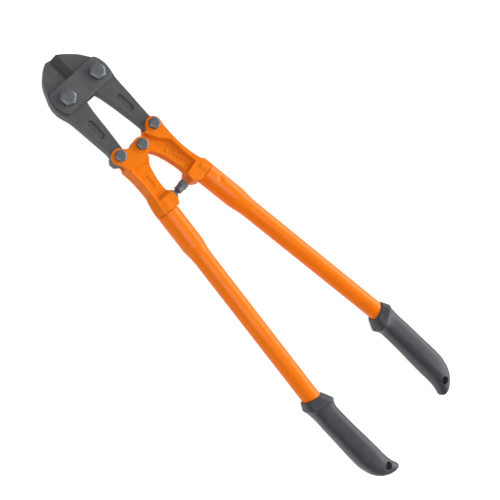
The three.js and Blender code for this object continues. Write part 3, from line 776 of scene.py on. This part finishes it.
# ---------------------------------------------------------------------------
# Stop bolt and jam nut.
# A plated screw in the left socket limits how far the handles close. The jam
# nut locks it against the socket.
# ---------------------------------------------------------------------------
bm = bmesh.new()
loops = [ring(bm, 2.4, 9.2), ring(bm, 4.2, 9.2), ring(bm, 4.55, 9.0),
         ring(bm, 4.8, 8.8, True, (4.6, -0.55)), ring(bm, 4.8, 2.5, True), ring(bm, 4.75, 2.3),
         ring(bm, 4.8, 2.1), ring(bm, 4.8, -3.9), ring(bm, 4.4, -4.4), ring(bm, 3.0, -4.4)]
z = -4.8
while z > -31.0:
    loops.append(ring(bm, 3.0, z))
    loops.append(ring(bm, 2.6, z - 0.5))
    z -= 1.0
loops.append(ring(bm, 2.5, -32.0))
stop_screw = to_object("stop_screw", lay_across(loft(bm, loops), 0.0))
shade(stop_screw, BOLT_SHADE)
finish_with(stop_screw, plated_steel, "left_handle", "fastener", "stop_bolt")

half = 5.2
bm = bmesh.new()
loops = [ring(bm, 3.3, 0.5), ring(bm, 3.8, 0.0), ring(bm, half - 0.7, 0.0), ring(bm, half - 0.3, 0.12),
         ring(bm, half, 0.3, True, (half - 0.2, 0.55)), ring(bm, half, 4.3, True, (half - 0.2, -0.55)),
         ring(bm, half - 0.3, 4.48), ring(bm, half - 0.7, 4.6), ring(bm, 3.8, 4.6), ring(bm, 3.3, 4.1)]
jam_nut = to_object("stop_jam_nut_visible", lay_across(loft(bm, loops, closed=True), -13.0))
shade(jam_nut, BOLT_SHADE)
finish_with(jam_nut, plated_steel, "left_handle", "fastener", "stop_jam_nut")


# ---------------------------------------------------------------------------
# Handle tubes.
# Steel tube in gloss orange enamel, swelled at the mouth to take the tang. A
# crimp near the mouth locks the right one.
# ---------------------------------------------------------------------------
gloss_enamel = surface("gloss_orange_enamel", (0.78, 0.160, 0.001), 0.34, specular=0.05,
                       coat=0.25, coat_rough=0.14)
flow = grain(gloss_enamel, 60.0, 4.0)
gloss_colour = blend_colours(gloss_enamel, flow, [
    (0.25, (0.72, 0.142, 0.001)), (0.50, (0.75, 0.152, 0.001)), (0.80, (0.78, 0.162, 0.002))])
drive(gloss_enamel, gloss_colour, 0, "Base Color")
rough_range(gloss_enamel, flow, 0.28, 0.38)
bumps(gloss_enamel, [(grain(gloss_enamel, 500.0, 2.0), 0.05, 0.0002), (flow, 0.06, 0.0008)])

TUBE_END = 357.0
CRIMP_X, CRIMP_Y, CRIMP_DEEP = 37.6, -86.5, 1.7

skin_rings = [(12.6, 0.4), (13.0, 0.8)] + [(13.0, 2.0 + k) for k in range(0, 41)]
skin_rings += [(12.92, 45.0), (12.6, 48.0), (12.15, 51.5), (11.7, 55.0), (11.32, 58.5), (11.1, 62.0),
               (11.01, 65.0), (11.0, 68.0)]
skin_rings += [(11.0, 68.0 + 9.5 * k) for k in range(1, 30)]
skin_rings += [(11.0, 353.0), (11.0, 356.6), (10.6, TUBE_END)]
bore_rings = [(9.8, TUBE_END), (9.4, 356.6)] + [(9.4, 354.0 - 9.5 * k) for k in range(0, 31)]
bore_rings += [(10.4, 52.0), (11.4, 43.0), (11.4, 0.8), (11.8, 0.4)]
for side, word, axis in ((-1, "left", LEFT_AXIS), (1, "right", RIGHT_AXIS)):
    skin = turned_on_handle(axis, skin_rings + bore_rings, 128, closed=True)
    if side > 0:
        for v in skin.verts:
            reach = Vector(((v.co.x - CRIMP_X) / 4.6, (v.co.y - CRIMP_Y) / 5.4, 0.0)).length
            if v.co.z > 8.0 and reach < 1.0:
                depth = CRIMP_DEEP if v.co.z > 11.2 else 0.35 * CRIMP_DEEP
                v.co.z -= depth * (1.0 - reach * reach) ** 2
    tube = to_object(f"{word}_handle_tube", skin, side)
    shade(tube, 40.0)
    finish_with(tube, gloss_enamel, f"{word}_handle", "tube_paint", f"handle_tube_{word}")


# ---------------------------------------------------------------------------
# Grips.
# Charcoal rubber-like mouldings pushed on over the tubes, with a flared guard,
# a swelling body, an inward tip and a hole to hang the tool by.
# ---------------------------------------------------------------------------
def grip_loop(bm, centre_x, y, half_x, half_z, slope=0.0, box=0.7, steps=64):
    """One cross-section loop: a soft box, its plane sloped along the handle."""
    loop = bmesh.ops.create_circle(bm, segments=steps, radius=1.0, cap_ends=False)["verts"]
    for v in loop:
        x = math.copysign(abs(v.co.x) ** box, v.co.x) * half_x
        z = math.copysign(abs(v.co.y) ** box, v.co.y) * half_z
        v.co = Vector((centre_x + x, y + slope * x, z))
    return loop


def between(rows, per):
    """Catmull-Rom rows, for an even loft."""
    out = []
    padded = [rows[0]] + rows + [rows[-1]]
    for i in range(1, len(padded) - 2):
        a, b, c, d = padded[i - 1:i + 3]
        for k in range(per):
            t = k / per
            out.append(tuple(0.5 * ((2 * q) + (r - p) * t + (2 * p - 5 * q + 4 * r - s) * t * t
                                    + (3 * q - p - 3 * r + s) * t * t * t)
                             for p, q, r, s in zip(a, b, c, d)))
    out.append(rows[-1])
    return out


rubber = surface("charcoal_rubber", (0.028, 0.031, 0.036), 0.40, specular=0.34)
wear = grain(rubber, 70.0, 5.0)
wear_colour = blend_colours(rubber, wear, [
    (0.28, (0.024, 0.027, 0.031)), (0.52, (0.028, 0.031, 0.036)), (0.80, (0.034, 0.037, 0.043))])
drive(rubber, wear_colour, 0, "Base Color")
rough_range(rubber, wear, 0.38, 0.48)
bumps(rubber, [(grain(rubber, 1300.0, 2.0), 0.15, 0.0002), (wear, 0.06, 0.0005)])

GRIP_BORE = 11.35
HANG_X, HANG_Y, HANG_RADIUS = 64.6, -456.3, 4.6

guard_rows = [(67.2, -333.9, 11.5, 11.5, 0.36, 0.90), (67.2, -333.5, 12.0, 11.9, 0.36, 0.85),
              (67.2, -334.2, 12.6, 12.4, 0.36, 0.75), (67.2, -344.4, 16.3, 15.7, 0.36, 0.55),
              (67.2, -345.8, 16.3, 15.7, 0.36, 0.55), (67.4, -349.0, 14.8, 14.5, 0.34, 0.57),
              (67.7, -354.0, 13.6, 13.7, 0.24, 0.60), (68.2, -360.0, 13.0, 13.4, 0.10, 0.63)]
body_rows = [(-370.0, 55.6, 82.2, 13.7), (-392.0, 56.1, 83.5, 14.2), (-412.0, 56.0, 85.2, 14.8),
             (-426.0, 56.0, 86.1, 14.9), (-436.0, 56.0, 86.0, 14.7), (-444.0, 55.9, 85.0, 13.9),
             (-450.0, 55.6, 83.5, 12.9), (-456.0, 55.0, 80.8, 11.7), (-460.5, 54.0, 77.6, 10.7),
             (-464.0, 52.9, 74.0, 9.8), (-467.0, 51.9, 70.0, 9.1), (-469.2, 51.9, 65.6, 8.3),
             (-470.4, 52.8, 62.4, 7.1), (-470.9, 54.6, 60.0, 5.0)]
for side, word, axis, shift, extra in ((-1, "left", LEFT_AXIS, 1.0, 0.45),
                                       (1, "right", RIGHT_AXIS, -1.7, 0.95)):
    bm = bmesh.new()
    loops = []
    for cx, y, hx, hz, slope, box in guard_rows:
        more = extra * min(1.0, max(0.0, (-346.0 - y) / 10.0))
        loops.append(grip_loop(bm, cx + shift + more, y, hx + more, hz, slope, box))
    for y, a, b, h in between(body_rows, 4):
        more = extra * min(1.0, max(0.0, (y + 426.0) / 50.0))
        loops.append(grip_loop(bm, (a + b) / 2 + shift + more, y, (b - a) / 2 + more, h, 0.0,
                               0.66 if y > -440.0 else 0.74))
    grip = to_object(f"{word}_moulded_grip", loft(bm, loops), side)
    stations = [200.0] + [BEND_FROM + 10.0 * k for k in range(0, 6)] + [TUBE_END + 1.0]
    bore = turned_on_handle(axis, [(GRIP_BORE, along) for along in stations], 64)
    carve(grip, [bore, drill(HANG_X + shift, HANG_Y, HANG_RADIUS)], side)
    melt(grip, 0.55, 2)
    finish_with(grip, rubber, f"{word}_handle", "grip", f"grip_{word}")
